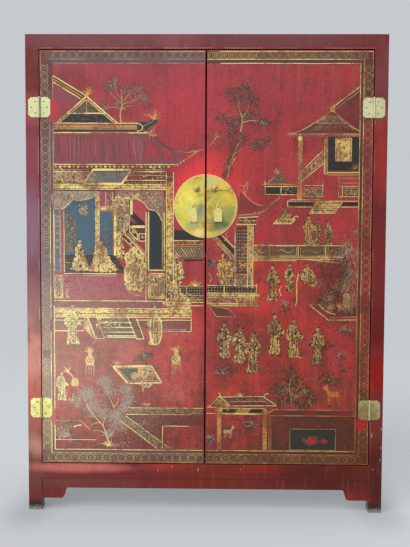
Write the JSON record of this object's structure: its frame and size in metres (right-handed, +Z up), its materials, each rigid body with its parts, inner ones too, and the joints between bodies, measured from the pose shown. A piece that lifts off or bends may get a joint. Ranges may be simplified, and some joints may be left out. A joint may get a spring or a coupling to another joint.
{
  "type": "two-door wedding cabinet",
  "caption": "Tall lacquered post-and-rail cabinet with hinged doors, shelves, a round brass lock plate, ring staples, pulls and a sliding keeper pin.",
  "frame": {"origin": "on the floor, under the centre of the whole object's bounding box", "axes": "+Z up; the doors face -Y; +X to the right of someone who faces the doors"},
  "size_m": [1.18, 0.5378, 1.575],
  "materials": {
    "frame_lacquer": "worn red-brown lacquer",
    "door_lacquer": "worn crimson lacquer with gilt painting",
    "bare_wood": "unfinished softwood, aged",
    "brass": "aged, with patina"
  },
  "bodies": {
    "carcass": {"apron_front": "frame_lacquer", "apron_left": "frame_lacquer", "apron_right": "frame_lacquer", "back_mid_rail": "bare_wood", "back_panel_lower": "bare_wood", "back_panel_upper": "bare_wood", "bottom_rail_front": "frame_lacquer", "bottom_rail_left": "frame_lacquer", "bottom_rail_rear": "frame_lacquer", "bottom_rail_right": "frame_lacquer", "floor_bearer": "bare_wood", "floor_board": "bare_wood", "hinge_nails_posts": "brass", "hinge_pins": "brass", "hinge_post_leaf_lower_left": "brass", "hinge_post_leaf_lower_right": "brass", "hinge_post_leaf_upper_left": "brass", "hinge_post_leaf_upper_right": "brass", "post_front_left": "frame_lacquer", "post_front_right": "frame_lacquer", "post_rear_left": "frame_lacquer", "post_rear_right": "frame_lacquer", "shelf_lower": "bare_wood", "shelf_rails_left": "bare_wood", "shelf_rails_right": "bare_wood", "shelf_upper": "bare_wood", "side_panel_left": "frame_lacquer", "side_panel_right": "frame_lacquer", "spandrel_front_left": "frame_lacquer", "spandrel_front_right": "frame_lacquer", "spandrels_left": "frame_lacquer", "spandrels_right": "frame_lacquer", "top_bearer": "bare_wood", "top_panel": "frame_lacquer", "top_rail_front": "frame_lacquer", "top_rail_left": "frame_lacquer", "top_rail_rear": "frame_lacquer", "top_rail_right": "frame_lacquer"},
    "door_left": {"door_left_battens": "bare_wood", "door_left_board": "door_lacquer", "hinge_door_leaf_lower_left": "brass", "hinge_door_leaf_upper_left": "brass", "hinge_nails_door_left": "brass", "lock_plate_left": "brass", "lock_rosette_left": "brass", "lock_staple_left": "brass", "pull_staple_left": "brass"},
    "door_right": {"door_right_battens": "bare_wood", "door_right_board": "door_lacquer", "hinge_door_leaf_lower_right": "brass", "hinge_door_leaf_upper_right": "brass", "hinge_nails_door_right": "brass", "lock_plate_right": "brass", "lock_rosette_right": "brass", "lock_staple_right": "brass", "pull_staple_right": "brass"},
    "pull_left": {"pull_left": "brass"},
    "pull_right": {"pull_right": "brass"},
    "lock_pin": {"lock_pin": "brass"}
  },
  "joints": [
    {"name": "door_left_hinge", "type": "hinge", "parent": "carcass", "child": "door_left", "pos_m": [-0.5445, -0.25545, 0.0007], "axis": [0, 0, -1], "range_deg": [0, 175]},
    {"name": "door_right_hinge", "type": "hinge", "parent": "carcass", "child": "door_right", "pos_m": [0.5445, -0.25545, 0.0007], "axis": [0, 0, 1], "range_deg": [0, 175]},
    {"name": "pull_left_swing", "type": "hinge", "parent": "door_left", "child": "pull_left", "pos_m": [-0.0406, -0.25945, 1.023], "axis": [-1, 0, 0], "range_deg": [-5, 160]},
    {"name": "pull_right_swing", "type": "hinge", "parent": "door_right", "child": "pull_right", "pos_m": [0.0406, -0.25945, 1.023], "axis": [-1, 0, 0], "range_deg": [-5, 160]},
    {"name": "lock_pin_slide", "type": "slide", "parent": "door_right", "child": "lock_pin", "axis": [1, 0, 0], "range_m": [-0.0331, 0.032]}
  ]
}
